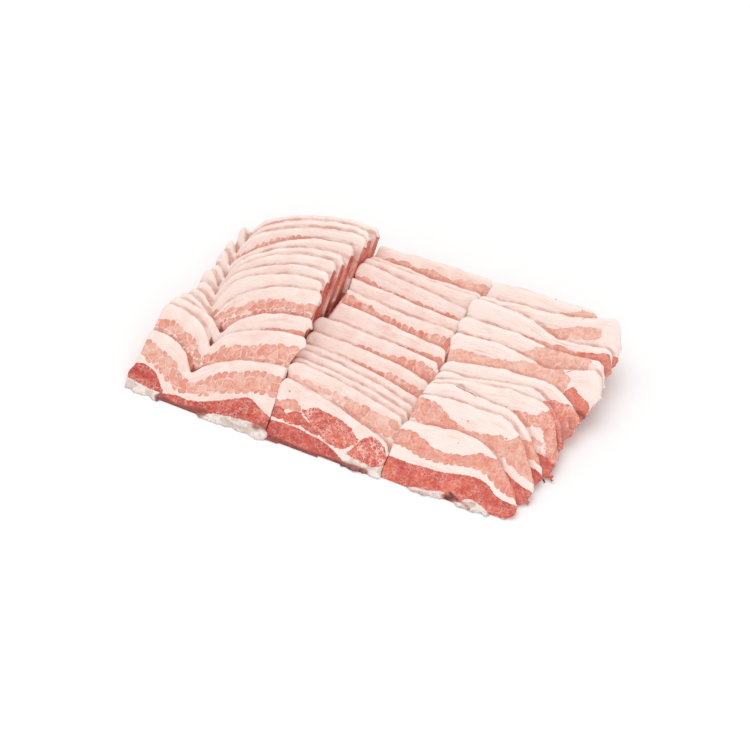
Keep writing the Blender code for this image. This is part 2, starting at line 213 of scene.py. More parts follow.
rightColumn = {
    "prefix": "right_slice", "count": 11, "pitch": 11.0, "lean": (60.0, 50.0), "seed": 61,
    "front": (166.0, 5.2, 0.04),
    "fat": (9, 11, 12, 12, 12, 12, 11, 11, 12, 13, 13), "blush": (0.0, -0.05),
    "reach": (0.34, 0.2), "proud": 0.8, "toe": 0.0, "tuck": {6: 2.5, 7: 4.0, 8: 6.5, 9: 7.5, 10: 7.5},
    "lean ends": (), "crease shade strength": 0.0, "rough end": True,
    "strands": {
        1: [((241, 7, 2), (6.6, -2.6, -0.6), 0.95), ((241.5, 6, 3), (6.2, 0.2, -0.6), 0.85)],
        3: [
            ((243, 6.5, 2), (9.4, -2.2, -1.0), 1.1), ((243, 4.5, 3), (8.4, -3.4, -0.3), 0.95),
            ((242, 6, 1.5), (9.4, 0.6, -1.5), 0.9),
        ],
        6: [((247, 21, 1.5), (8.0, -3.0, -1.0), 1.1), ((247, 19, 2), (7.4, -5.6, -0.5), 1.0)],
    },
    "layers": {
        0: [
            layer(164, 246, (30.8, 31.8, 29.3, 26.5, 26.3, 28.1, 32.2, 32.3, 42, 42, 42),
                  (20.4, 21.0, 18.9, 18.7, 19.3, 21.3, 22.3, 20.8, 16.0, 13.5, 13.4),
                  red=0.35, cell=(4.6, 1.7), seam=-0.02, marble=0.3),
            solid(164, 247, (13.9, 13.6, 13.8, 14.4, 14.8, 16.2, 18.0, 16.8, 12.0, 10.8, 11.4),
                  (-3,) * 11, red=0.68, marble=0.35),
        ],
        1: [
            layer(166, 250, (42.3, 42.9, 40.0, 36.0, 33.7, 33.9, 36.4, 36.0, 50, 50, 50),
                  (30, 29, 28, 27, 26.5, 26.5, 26.5, 24.5, 20, 17, 16.5),
                  red=0.29, cell=(4.8, 2), seam=0.0, marble=0.4),
            solid(166, 251, (22, 22, 22, 22, 22, 21.5, 20.5, 18.5, 15, 12.5, 12),
                  (-3,) * 11, red=0.7, marble=0.3),
        ],
        2: [
            layer(228, 252, (30, 30, 29), (22, 20, 17), red=0.25, cell=(7, 1), seam=0.0),
            solid(228, 252, (18, 16, 13), (-3, -3, -3), red=0.75, marble=0.2),
        ],
        3: [
            layer(213, 252, (33.0, 36.3, 36.6, 42, 42, 42),
                  (26, 26, 29.4, 28.6, 16, 12), red=0.36, cell=(5, 2), seam=0.0, marble=0.7),
            solid(228, 239, (22.6, 24.0, 22.4), (20.8, 21.4, 20.8), red=0.22, marble=0.8),
            solid(226, 252, (15, 16, 14), (-3, -3, -3), red=0.68, marble=0.3),
        ],
        4: [
            layer(225, 252, (34, 39.5, 42, 42),
                  (22, 18, 14, 12), red=0.52, cell=(5, 2), seam=0.0, marble=0.6),
            solid(224, 252, (16, 14, 11, 9), (-3,) * 4, red=0.85, marble=0.2),
        ],
        5: [
            layer(227, 253, (29.4, 31.3, 31.6, 30),
                  (18, 15, 12, 10), red=0.44, cell=(5, 2), seam=0.0, marble=0.7),
            solid(226, 253, (14, 12, 10, 8), (-3,) * 4, red=0.85, marble=0.2),
        ],
        6: [
            layer(163, 236.4, (32.5, 34.3, 35.0, 35.3, 36.2, 37.6, 39.2, 41.0, 41.6, 37.4),
                  (20, 20, 20, 20, 20, 24, 26, 27, 28, 29),
                  red=0.16, cell=(5.5, 1), seam=-0.02, marble=0.5),
            solid(235, 253.6, (26, 31.0, 33.0, 30.4, 29.4, 28.2, 25.6),
                  (-3,) * 7, red=0.54, marble=0.4),
        ],
        7: [
            layer(163, 243, (35.6, 36.4, 36.6, 35.2, 36.4, 42.5, 50, 50, 46),
                  (22,) * 9, red=0.20, cell=(4.6, 3), seam=0.0, marble=0.8),
            solid(236, 257, (24, 24, 22), (-3, -3, -3), red=0.85, marble=0.2),
        ],
        8: [
            layer(163, 236, (35.8, 36.6, 37.2, 36.4, 36.9, 36.9, 37.8, 37.8, 36),
                  (22,) * 9, red=0.22, cell=(8, 1), seam=0.0, marble=0.2),
            solid(230, 256, (36.2, 38.0, 39.6, 40.2, 36.0), (-3,) * 5, red=0.50, marble=0.4),
        ],
        9: [
            layer(196, 241, (36.6, 37.5, 38.8, 42.7, 45.9, 47.4),
                  (30.4, 30.8, 31.6, 34.0, 37.0, 40.0), red=0.14, cell=(10, 1), seam=0.0, marble=0.7),
            solid(222, 255, (29.6, 30.2, 31.6, 33.4), (-3,) * 4, red=0.6, marble=0.2),
        ],
        10: [
            layer(205, 237, (36.5, 39.9, 44.4, 46.4, 45.0),
                  (31, 33, 36, 38, 38), red=0.14, cell=(10, 1), seam=0.0, marble=0.7),
        ],
    },
    "films": {
        0: [
            layer(181, 203, (0.6, 2.0, 2.6, 3.4, 5.0), (-3,) * 5),
            layer(210, 232, (1.0, 4.2, 5.4, 3.6, 0.6), (-3,) * 5),
            layer(231, 252, (0.8, 1.4, 1.6, 1.2, 0.8), (-3,) * 5),
        ],
    },
    "lines": {
        0: [
            (205.6, 5.4, 211.0, 3.0, 1.0, 0.75), (211.0, 3.0, 219.4, 1.0, 0.9, 0.5),
            (222.5, 30.0, 216.9, 22.0, 0.3, 0.25),
        ],
        2: [(182.2, 46.7, 195.5, 44.3, 0.6, 0.5), (215.3, 41.7, 226.0, 36.1, 0.5, 0.35)],
        3: [(240.0, 14.0, 252.0, 9.0, 1.6, 0.35)],
        4: [(243.0, 30.0, 251.0, 14.0, 1.6, 0.42)],
        5: [(246.0, 24.0, 252.0, 12.0, 1.8, 0.42)],
        6: [
            (231.8, 38.9, 236.0, 42.1, 0.45, 0.5), (238.3, 44.1, 246.0, 46.0, 0.4, 0.45),
            (251.0, 20.5, 255.8, 17.7, 1.0, 0.6),
        ],
        8: [
            (175.7, 38.0, 187.3, 37.3, 0.4, 0.5), (215.5, 40.0, 225.2, 38.8, 0.5, 0.4),
            (247.2, 42.1, 256.2, 32.7, 0.9, 0.3),
        ],
        9: [(226.7, 47.8, 230.2, 53.2, 0.45, 0.5)],
    },
    "stains": {
        0: [
            (206, 2.4, 5.0, 2.6, 0.85), (190, 0.3, 14, 1.2, 0.4), (199, 33.2, 1.0, 0.8, 0.5),
            (239, 8.0, 2.6, 1.6, 0.35),
        ],
        1: [(198, 38.2, 0.9, 1.0, 0.6), (222, 35.6, 1.3, 0.6, 0.8), (248.5, 5, 2.4, 2.4, 0.6)],
        3: [
            (212, 35.2, 1.6, 1.0, 0.6), (242, 16, 6, 3.5, 0.35), (248, 21, 2.6, 5.0, 0.36),
            (253, 4.5, 3.4, 3.0, 0.55),
        ],
        6: [
            (240.6, 31.4, 4.4, 2.8, 0.36), (250, 20, 6, 4, 0.62), (254.5, 18, 3, 3, 0.7),
            (243, 33, 7, 5, 0.16),
        ],
        9: [(207, 37.5, 1.0, 0.7, 0.5), (247, 31.0, 7.0, 2.4, 0.45)],
        10: [(206, 46.8, 0.8, 0.8, 0.6), (236, 44.6, 1.0, 0.8, 0.6)],
    },
}

blushSlices = 13  # over which the fat's blush goes from front to back

# What lies below the layers that show: lean, a white line and red lean down to the table.
hidden = {"lean depth": 12.0, "white line": 4.0, "red top": 24.0, "red bottom": 1.5}

# How the fine mesh is made and moved, in mm. A pair is where a change starts and where it is full,
# apart from fold stretch, which is for the directions along and up the face.
shape = {
    "voxel": 0.75, "smooth": 1,
    "wave": 0.20, "wave size": 13.0, "ripple": 0.07, "ripple size": 4.0,
    "lean dip": 0.10, "lean edge": (-0.4, 0.6), "film edge": (-0.4, 0.9), "film": 1.3,
    "fold": 1.2, "fold size": 3.8, "fine fold": 0.3, "fine fold size": 2.0,
    "fold stretch": (0.62, 1.2), "fold sharpness": 3.2,
    "edge wander": 0.6, "edge size": 7.0, "fine edge": 0.45, "fine edge size": 3.0, "edge depth": (7, 0),
    # The slice in front holds a face back below these, and the table does near itself.
    "loose": (16, 9), "bare": (9, 6), "ground": (0.5, 3.0), "film on ground": 0.8,
    # Ends, measured along the slice, up from the table, down from the top edge or off the cut face.
    "proud along": (4.0, 0.5), "proud face": (2.0, 0.5), "press along": (6, 0),
    "corner": 0.7, "corner face": (1.6, 0.2), "corner along": (1.8, 0.3),
    "toe along": (9, 0), "toe height": 9.5, "toe half": 4.5,
    "end round": 3.4, "round height": (12, 20), "round down": (10, 1),
    "tip draw": 3.2, "tip along": (12, 0), "tip height": (7, 0), "tip power": 1.5,
    "lump": 0.8, "lump size": 2.6, "swell": 1.5, "swell size": 7.5, "lump facing": (0.15, 0.7),
    "tuck height": (34, 12), "tuck along": (22, 0),
}

# How layers and marks are laid on the cut, in mm. The first slice's borders wander and grow less.
# Shade is painted just above where the slice in front meets this one, and in the creases; the
# crease shade is painted darker on the first few slices.
painting = {
    "outside": -9.0, "above all": 99.0,
    "wander": 0.7, "wander size": 9.0, "fine wander": 0.35, "fine wander size": 3.2, "first wander": 0.45,
    "growth": 0.3, "first growth": 0.1, "hidden gap": 2.0, "film wander": 1.2, "cell depth": 9.0,
    "end facing": (0.45, 0.8), "end along": (2.0, 0.6), "end fat": 2.2, "end red": 0.62,
    # painted shade where slices meet, and below it painted shade in the creases
    "contactShade": (2.4, 1.0), "contact down": (0.5, 3.0), "front face": 1.5,
    "crease half": 6, "crease depth": (1.5, 4.0), "crease shade": (2.6, 1.1),
    "crease front": 4, "crease back": 0.4,
    "end fade": (3, 14), "grain step": 40,
}

# The two cones of a strand: where the first ends, how far it sags, and how they thin out.
strandShape = {"bend": 0.55, "sag": 0.9, "thin": 0.75, "taper": 0.7, "overlap": 1.1, "sides": 10}


def cloud(points, size, seed):  # smooth noise from -1 to 1
    count, shift = 24, 7.3
    table = np.random.RandomState(seed).rand(count, count, count)
    place = points / size + shift * seed
    cell = np.floor(place).astype(int)
    part = place - cell
    part = part * part * (3 - 2 * part)
    total = np.zeros(len(points))
    for corner in range(8):
        step = np.array((corner & 1, corner >> 1 & 1, corner >> 2 & 1))
        weight = np.prod(np.where(step == 1, part, 1 - part), axis=1)
        spot = (cell + step) % count
        total += weight * table[spot[:, 0], spot[:, 1], spot[:, 2]]
    return total * 2 - 1


def smoothStep(low, high, value):
    share = np.clip((value - low) / (high - low), 0, 1)
    return share * share * (3 - 2 * share)


def curve(values, start, end, x):  # a rounded line through evenly spaced values
    spot = np.clip((x - start) / (end - start), 0, 1) * (len(values) - 1)
    cell = np.minimum(spot.astype(int), len(values) - 2)
    part = spot - cell
    values = np.array(values, float)
    before = values[np.maximum(cell - 1, 0)]
    first, second = values[cell], values[cell + 1]
    after = values[np.minimum(cell + 2, len(values) - 1)]
    return first + 0.5 * part * (second - before + part * (
        2 * before - 5 * first + 4 * second - after + part * (3 * (first - second) + after - before)))


def leanOf(column, index):
    front, back = column["lean"]
    return math.radians(front + (back - front) * (index + 0.5) / (column["count"] - 1))


# Millimetres along the slice, up its cut face and into its thickness.
def slabPlace(column, index, points):
    lean = leanOf(column, index)
    at, y, slope = column["front"]
    x = points[:, 0] / mm + originX
    depth = points[:, 1] / mm + originY - y - slope * (x - at) - column["pitch"] * index
    z = points[:, 2] / mm
    return x, depth * math.sin(lean) + z * math.cos(lean), depth * math.cos(lean) - z * math.sin(lean)


def slabPoint(column, index, x, rise, inside):  # the way back from slabPlace, in metres
    lean = leanOf(column, index)
    at, y, slope = column["front"]
    depth = rise * math.sin(lean) + inside * math.cos(lean)
    z = rise * math.cos(lean) - inside * math.sin(lean)
    return Vector((x - originX, depth + y + slope * (x - at) + column["pitch"] * index - originY, z)) * mm


def outlineOf(x, rise):  # height of the top edge along the slice
    inset, step, near = 0.4, 1.5, 1.1
    stations = np.arange(x.min() + inset, x.max(), step)
    tops = np.array([rise[np.abs(x - s) < near].max() for s in stations])
    return stations, tops


def aboveCurve(values, item, x, rise):  # how far above a curve a point is, square to it
    step = 0.5
    height = curve(values, item["start"], item["end"], x)
    slope = (curve(values, item["start"], item["end"], x + step) - height) / step
    return (rise - height) / np.sqrt(1 + slope ** 2)


def layerField(item, x, rise):  # how deep a point is in a layer, below zero outside it
    upper, lower = -aboveCurve(item["tops"], item, x, rise), aboveCurve(item["bottoms"], item, x, rise)
    return np.minimum(np.minimum(upper, lower), np.minimum(x - item["start"], item["end"] - x))


# Lobes follow their layer: counted along its middle line, and in rows from bottom to top.
def lobePlace(item, x, rise):
    margin = 0.2
    stations = np.linspace(item["start"], item["end"], 60)
    low = curve(item["bottoms"], item["start"], item["end"], stations)
    high = curve(item["tops"], item["start"], item["end"], stations)
    middle = (low + high) / 2
    steps = np.hypot(np.diff(stations), np.diff(middle))
    along = np.concatenate([[0], np.cumsum(steps)])
    share = (rise - np.interp(x, stations, low)) / np.maximum(np.interp(x, stations, high - low), 1.0)
    wide, rows = item["cell"]
    row = margin + np.clip(share, -margin, 1 + margin) * (rows - 2 * margin)
    return np.interp(x, stations, along) / wide, row


def hiddenLayers(column, index, stations, tops):
    start, end = stations[0] - 2, stations[-1] + 2
    heights = np.interp(np.linspace(start, end, 12), stations, tops)
    leanTop = heights - column["fat"][index]
    leanBottom = leanTop - hidden["lean depth"]
    redTop = np.minimum(leanBottom - hidden["white line"], hidden["red top"])
    redBottom = np.full(len(heights), hidden["red bottom"])
    return [layer(start, end, leanTop, leanBottom, red=0.25),
            layer(start, end, redTop, redBottom, red=0.8, cell=(14, 1), seam=-0.1, marble=0.25)]


def readPoints(mesh, what="co"):
    values = np.empty(len(mesh.vertices) * 3, np.float32)
    mesh.vertices.foreach_get(what, values)
    return values.reshape(-1, 3).astype(float)


def writeValues(mesh, name, values):
    made = mesh.attributes.new(name, "FLOAT" if values.ndim == 1 else "FLOAT_VECTOR", "POINT")
    made.data.foreach_set("value" if values.ndim == 1 else "vector", values.astype(np.float32).ravel())


def applyModifier(piece, kind, **settings):
    modifier = piece.modifiers.new(kind.lower(), kind)
    for key, value in settings.items():
        setattr(modifier, key, value)
    bpy.ops.object.modifier_apply(modifier=modifier.name)


def addCone(first, second, radius, thick):
    along = second - first
    bpy.ops.mesh.primitive_cone_add(
        vertices=strandShape["sides"], radius1=radius * thick * mm,
        radius2=strandShape["taper"] * radius * thick * mm,
        depth=along.length * strandShape["overlap"], location=(first + second) / 2,
        rotation=along.to_track_quat("Z", "Y").to_euler())
    return bpy.context.object


# A strand is two cones, the second one thinner and turned down a little.
def addStrands(column, index, piece):
    parts = [piece]
    for start, reach, radius in column["strands"].get(index, []):
        ends = [start, [a + strandShape["bend"] * b for a, b in zip(start, reach)],
                [a + b for a, b in zip(start, reach)]]
        ends[1][1] += strandShape["sag"]
        places = [slabPoint(column, index, *end) for end in ends]
        parts.append(addCone(places[0], places[1], radius, 1.0))
        parts.append(addCone(places[1], places[2], radius, strandShape["thin"]))
    bpy.ops.object.select_all(action="DESELECT")
    for part in parts:
        part.select_set(True)
    bpy.context.view_layer.objects.active = piece
    if len(parts) > 1:
        bpy.ops.object.join()


# A fine, rounded copy of the node, remeshed in line with its cut face.
def startSlice(column, index, name):
    piece = bpy.data.objects.new(name + "_meat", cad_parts[name].data.copy())
    bpy.context.scene.collection.objects.link(piece)
    addStrands(column, index, piece)
    bpy.ops.object.mode_set(mode="EDIT")
    bpy.ops.mesh.select_all(action="SELECT")
    bpy.ops.mesh.remove_doubles(threshold=0.00001)
    bpy.ops.mesh.customdata_custom_splitnormals_clear()
    bpy.ops.object.mode_set(mode="OBJECT")
    turn = Matrix.Rotation(leanOf(column, index), 4, "X")
    piece.data.transform(turn)
    applyModifier(piece, "REMESH", mode="VOXEL", voxel_size=shape["voxel"] * mm, use_smooth_shade=True)
    applyModifier(piece, "SMOOTH", factor=0.5, iterations=shape["smooth"])
    piece.data.transform(turn.inverted())
    return piece


class Cut:  # a slice's points before they are moved, in mm apart from metres
    def __init__(self, column, index, mesh):
        self.metres = readPoints(mesh)
        self.points = self.metres / mm
        self.normals = readPoints(mesh, "normal")
        self.seed = index + column["seed"]
        self.x, self.rise, self.inside = slabPlace(column, index, self.metres)
        self.stations, self.tops = outlineOf(self.x, self.rise)
        far = np.hypot(self.x[:, None] - self.stations, self.rise[:, None] - self.tops)
        self.below = np.min(far, axis=1)
        self.fromLeft = np.maximum(self.x - self.stations[0], 0)
        self.fromRight = np.maximum(self.stations[-1] - self.x, 0)
        self.wander = painting["wander"] * cloud(self.points, painting["wander size"], self.seed)
        fine = cloud(self.points, painting["fine wander size"], self.seed + 5)
        self.wander += painting["fine wander"] * fine
        self.wander *= 1.0 if index else painting["first wander"]


# Layers that show are laid over those that don't. A point belongs to the layer it is deepest in.
def paintLean(column, index, cut):
    size = len(cut.x)
    shown = column["layers"].get(index, [])
    layers = shown + ([] if index == 0 else hiddenLayers(column, index, cut.stations, cut.tops))
    lowest = np.full(size, painting["above all"])
    for item in shown:
        covers = (cut.x > item["start"] - 1) & (cut.x < item["end"] + 1)
        bottom = curve(item["bottoms"], item["start"], item["end"], cut.x)
        lowest = np.where(covers, np.minimum(lowest, bottom), lowest)
    growth = painting["growth" if index else "first growth"]
    field, cells = np.full(size, painting["outside"]), np.zeros((size, 3))
    look = {"red": np.zeros(size), "marble": np.zeros(size), "seam": np.zeros(size)}
    for number, item in enumerate(layers):
        own = layerField(item, cut.x, cut.rise) + cut.wander + growth
        if number >= len(shown):  # hidden lean stays clear of what shows
            own = np.minimum(own, lowest - painting["hidden gap"] - cut.rise)
        better = own > field
        across, row = lobePlace(item, cut.x, cut.rise)
        inward = cut.inside / painting["cell depth"] + cut.seed
        spot = np.stack([across + 7 * cut.seed, row + 3 * number, inward], 1)  # no two layers alike
        field = np.where(better, own, field)
        cells = np.where(better[:, None], spot, cells)
        for key in look:
            look[key] = np.where(better, item[key], look[key])
    if index in column["lean ends"]:
        facing = smoothStep(*painting["end facing"], cut.normals[:, 0])
        facing = facing * smoothStep(*painting["end along"], cut.stations[-1] - cut.x)
        shows = (facing > 0.5) & (cut.below > painting["end fat"] + 0.8 * cut.wander)
        field = np.where(shows, np.clip(field, 1.5, 2.0), field)
        look["red"] = np.where(shows, painting["end red"] + 0.2 * cut.wander, look["red"])
        look["seam"] = np.where(shows, noLobes["seam"], look["seam"])
    return {"leanField": field, "redness": look["red"], "marble": look["marble"], "seam": look["seam"],
            "cells": cells}


def paintFilm(column, index, cut):
    film = np.full(len(cut.x), painting["outside"])
    for item in column["films"].get(index, []):
        film = np.maximum(film, layerField(item, cut.x, cut.rise) + painting["film wander"] * cut.wander)
    return film


def paintStains(column, index, cut):
    stainAndShade = np.zeros(len(cut.x))
    for spotX, spotRise, wide, high, strength in column["stains"].get(index, []):
        far = ((cut.x - spotX) / wide) ** 2 + ((cut.rise - spotRise) / high) ** 2
        stainAndShade = np.maximum(stainAndShade, strength * np.exp(-far * 1.2))
    for startX, startRise, endX, endRise, wide, strength in column["lines"].get(index, []):
        acrossX, acrossRise = cut.x - startX, cut.rise - startRise
        span = np.array((endX - startX, endRise - startRise))
        along = np.clip((acrossX * span[0] + acrossRise * span[1]) / (span @ span), 0, 1)
        far = np.hypot(acrossX - along * span[0], acrossRise - along * span[1])
        stainAndShade = np.maximum(stainAndShade, strength * smoothStep(wide * 1.5, wide * 0.4, far))
    return stainAndShade


# Painted shade just above where the slice in front hides this one, and painted shade in the crease just
# above that.
def paintContactShade(column, index, cut, before):
    if before is None:
        return np.zeros(len(cut.x)), np.zeros(len(cut.x))
    stations, tops = before
    covered = np.interp(cut.x, stations, tops) - column["pitch"] * math.sin(leanOf(column, index))
    clear = cut.rise - covered
    facing = cut.inside < painting["front face"]
    # painted shade on the face just above where the slice in front hides it
    contactShade = smoothStep(*painting["contactShade"], clear)
    contactShade = contactShade * smoothStep(*painting["contact down"], cut.below) * facing
    half = painting["crease half"]
    level = np.interp(stations, stations + half, tops) + np.interp(stations, stations - half, tops)
    crease = smoothStep(*painting["crease depth"], np.interp(cut.x, stations, level / 2 - tops))
    # how dark the painted crease shade is, strongest on the first few slices
    shadeStrength = column["crease shade strength"] * (1.0 if index < painting["crease front"] else painting["crease back"])
    return contactShade, shadeStrength * crease * smoothStep(*painting["crease shade"], clear) * facing


# Uneven cut faces, puckered film, a proud left end and a wandering top edge.
def moveFaces(column, index, cut, leanField, film):
    points, below, seed = cut.points, cut.below, cut.seed
    loose = smoothStep(*shape["loose"], below) if index else np.ones(len(below))
    bulge = shape["wave"] * cloud(points, shape["wave size"], seed + 9)
    bulge += shape["ripple"] * cloud(points, shape["ripple size"], seed + 12)
    bulge -= shape["lean dip"] * smoothStep(*shape["lean edge"], leanField) * (film < 0)
    skin = smoothStep(*shape["film edge"], film)
    along, up = shape["fold stretch"]
    stretched = np.stack([cut.x * along, cut.rise * up, cut.inside], 1)
    puckers = cloud(stretched, shape["fold size"], seed + 3)
    puckers = puckers + shape["fine fold"] * cloud(stretched, shape["fine fold size"], seed + 4)
    folds = 1 - shape["fold sharpness"] * np.abs(puckers)
    bulge += skin * (shape["film"] + shape["fold"] * np.maximum(folds, -1))
    bare = smoothStep(*shape["bare"], below) if index else 1.0
    proud = column["proud"] * bare * smoothStep(*shape["proud along"], cut.fromLeft)
    bulge += proud * smoothStep(*shape["proud face"], cut.inside)
    uneven = cloud(points, shape["edge size"], seed + 20)
    uneven = uneven + shape["fine edge"] * cloud(points, shape["fine edge size"], seed + 21)
    lift = shape["edge wander"] * uneven * smoothStep(*shape["edge depth"], below)
    held = smoothStep(*shape["ground"], points[:, 2:3])
    grounded = np.maximum(held, shape["film on ground"] * skin[:, None])
    rising = upFace(column, index) * lift[:, None]
    moved = cut.metres + mm * grounded * (cut.normals * (bulge * loose)[:, None] + rising)
    return moved, folds, grounded[:, 0]


def upFace(column, index):
    lean = leanOf(column, index)
    return np.array((0.0, math.sin(lean), math.cos(lean)))


# Ends press on their neighbours and have rounded upper corners.
def moveEnds(column, index, cut, moved):
    left, right = column["reach"]
    pressed = right * smoothStep(*shape["press along"], cut.fromRight)
    moved[:, 0] += mm * (pressed - left * smoothStep(*shape["press along"], cut.fromLeft))
    for far, sign in ((cut.fromRight, right), (cut.fromLeft, -left)):
        corner = smoothStep(*shape["corner face"], np.abs(cut.inside))
        corner = corner * smoothStep(*shape["corner along"], far)
        moved[:, 0] += mm * shape["corner"] * sign * corner
    if index == 0:
        foot = np.exp(-((cut.rise - shape["toe height"]) / shape["toe half"]) ** 2)
        moved[:, 0] -= mm * column["toe"] * smoothStep(*shape["toe along"], cut.fromLeft) * foot
    radius = shape["end round"]
    for far, height in ((cut.fromLeft, cut.tops[0]), (cut.fromRight, cut.tops[-1])):
        near = np.clip(radius - far, 0, radius)
        drop = radius - np.sqrt(radius ** 2 - near ** 2)
        drop = drop * smoothStep(*shape["round height"], height)
        drop = drop * smoothStep(*shape["round down"], cut.below)
        moved -= mm * upFace(column, index) * (drop * (cut.metres[:, 2] > mm))[:, None]


# The outer end is torn and lumpy, and draws back below where the slices do.
def moveOuterEnd(column, index, cut, moved, grounded):
    if column["rough end"]:
        tip = smoothStep(*shape["tip along"], cut.fromRight)
        low = smoothStep(*shape["tip height"], cut.rise) ** shape["tip power"]
        moved[:, 0] -= mm * tip * shape["tip draw"] * low
        lumps = shape["lump"] * cloud(cut.points, shape["lump size"], cut.seed + 30)
        lumps = lumps + shape["swell"] * cloud(cut.points, shape["swell size"], cut.seed + 31)
        facing = smoothStep(*shape["lump facing"], cut.normals[:, 0])
        lumps = np.where(lumps > 0, lumps * facing, lumps)  # outward only on the end itself
        moved += mm * cut.normals * (tip * lumps * grounded)[:, None]
    tuck = column["tuck"].get(index, 0.0)
    low = smoothStep(*shape["tuck height"], cut.rise)
    moved[:, 0] -= mm * tuck * low * smoothStep(*shape["tuck along"], cut.fromRight)
    moved[:, 2] = np.maximum(moved[:, 2], 0.0)


def carveSlice(column, index, meat, before):
    name = f"{column['prefix']}_{index + 1:02d}"
    piece = startSlice(column, index, name)
    mesh = piece.data
    cut = Cut(column, index, mesh)
    paint = paintLean(column, index, cut)
    paint["filmField"] = paintFilm(column, index, cut)
    paint["contactShade"], shade = paintContactShade(column, index, cut, before)
    # dark marks from the stains and lines, together with the painted shade in the creases
    paint["stainAndShade"] = np.maximum(paintStains(column, index, cut), shade)
    moved, paint["fold"], grounded = moveFaces(column, index, cut, paint["leanField"], paint["filmField"])
    moveEnds(column, index, cut, moved)
    moveOuterEnd(column, index, cut, moved, grounded)
    mesh.vertices.foreach_set("co", moved.astype(np.float32).ravel())

    front, back = column["blush"]
    paint["blush"] = np.full(len(cut.x), front) + (back - front) * index / blushSlices
    paint["endFade"] = smoothStep(*painting["end fade"], np.minimum(cut.fromLeft, cut.fromRight))
    across = cut.x + painting["grain step"] * cut.seed  # no two slices alike
    paint["grain"] = np.stack([across, cut.rise, cut.inside], 1)
    paint["edgeGrain"] = np.stack([across, cut.below, cut.inside], 1)
    for key, values in paint.items():
        writeValues(mesh, key, values)
    mesh.materials.clear()
    mesh.materials.append(meat)
    mesh.update()
    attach(piece, "root")
    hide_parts(name)
    return piece, (cut.stations, cut.tops)


class Shading:  # short calls for building a material's nodes
    def __init__(self, name):
        self.material = bpy.data.materials.new(name)
        self.material.use_nodes = True
        self.tree = self.material.node_tree
        self.shader = self.tree.nodes["Principled BSDF"]

    def join(self, source, socket):
        if isinstance(source, (int, float, tuple)):
            socket.default_value = source
        else:
            self.tree.links.new(source, socket)

    def value(self, name, output="Fac"):
        node = self.tree.nodes.new("ShaderNodeAttribute")
        node.attribute_name = name
        return node.outputs[output]

    def maths(self, kind, operation, *sources):
        node = self.tree.nodes.new(kind)
        node.operation = operation
        for socket, source in zip(node.inputs, sources):
            self.join(source, socket)
        return node.outputs[0]

    def plus(self, first, second):
        return self.maths("ShaderNodeMath", "ADD", first, second)

    def minus(self, first, second):
        return self.maths("ShaderNodeMath", "SUBTRACT", first, second)

    def times(self, first, second):
        return self.maths("ShaderNodeMath", "MULTIPLY", first, second)

    def least(self, first, second):
        return self.maths("ShaderNodeMath", "MINIMUM", first, second)

    def line(self, source, slope, offset):
        return self.maths("ShaderNodeMath", "MULTIPLY_ADD", source, slope, offset)

    def swing(self, source, by):  # noise from 0 to 1, turned into a change either way
        return self.line(source, by, -by / 2)

    def ridge(self, source):  # zero along the middle value of a noise
        return self.maths("ShaderNodeMath", "ABSOLUTE", self.minus(source, 0.5))

    def scaled(self, vector, by):
        return self.maths("ShaderNodeVectorMath", "MULTIPLY", vector, by)

    def shaken(self, vector, grain, scale, detail, reach):  # a place moved about by noise
        noise = self.noise(grain, scale, detail, output="Color")
        return self.maths("ShaderNodeVectorMath", "ADD", vector, self.scaled(noise, reach))

    def noise(self, vector, scale, detail=3.0, rough=0.55, output="Fac"):
        node = self.tree.nodes.new("ShaderNodeTexNoise")
        self.join(vector, node.inputs["Vector"])
        node.inputs["Scale"].default_value = scale
        node.inputs["Detail"].default_value = detail
        node.inputs["Roughness"].default_value = rough
        return node.outputs[output]

    def voronoi(self, vector, scale, feature="DISTANCE_TO_EDGE", random=0.9, output="Distance", size="3D"):
        node = self.tree.nodes.new("ShaderNodeTexVoronoi")
        node.voronoi_dimensions = size
        node.feature = feature
        self.join(vector, node.inputs["Vector"])
        node.inputs["Scale"].default_value = scale
        node.inputs["Randomness"].default_value = random
        return node.outputs[output]

    def spread(self, source, low, high, least=0.0, most=1.0):
        node = self.tree.nodes.new("ShaderNodeMapRange")
        node.interpolation_type = "SMOOTHSTEP"
        self.join(source, node.inputs["Value"])
        for label, number in (("From Min", low), ("From Max", high), ("To Min", least), ("To Max", most)):
            self.join(number, node.inputs[label])
        return node.outputs["Result"]

    def ramp(self, source, stops):
        node = self.tree.nodes.new("ShaderNodeValToRGB")
        self.join(source, node.inputs["Fac"])
        marks = node.color_ramp.elements
        marks[0].position, marks[1].position = stops[0][0], stops[-1][0]
        marks[0].color, marks[1].color = stops[0][1], stops[-1][1]
        for place, colour in stops[1:-1]:
            marks.new(place).color = colour
        return node.outputs["Color"]

    def mixed(self, share, first, second):
        node = self.tree.nodes.new("ShaderNodeMix")
        node.data_type = "RGBA"
        self.join(share, node.inputs["Factor"])
        self.join(first, node.inputs["A"])
        self.join(second, node.inputs["B"])
        return node.outputs["Result"]


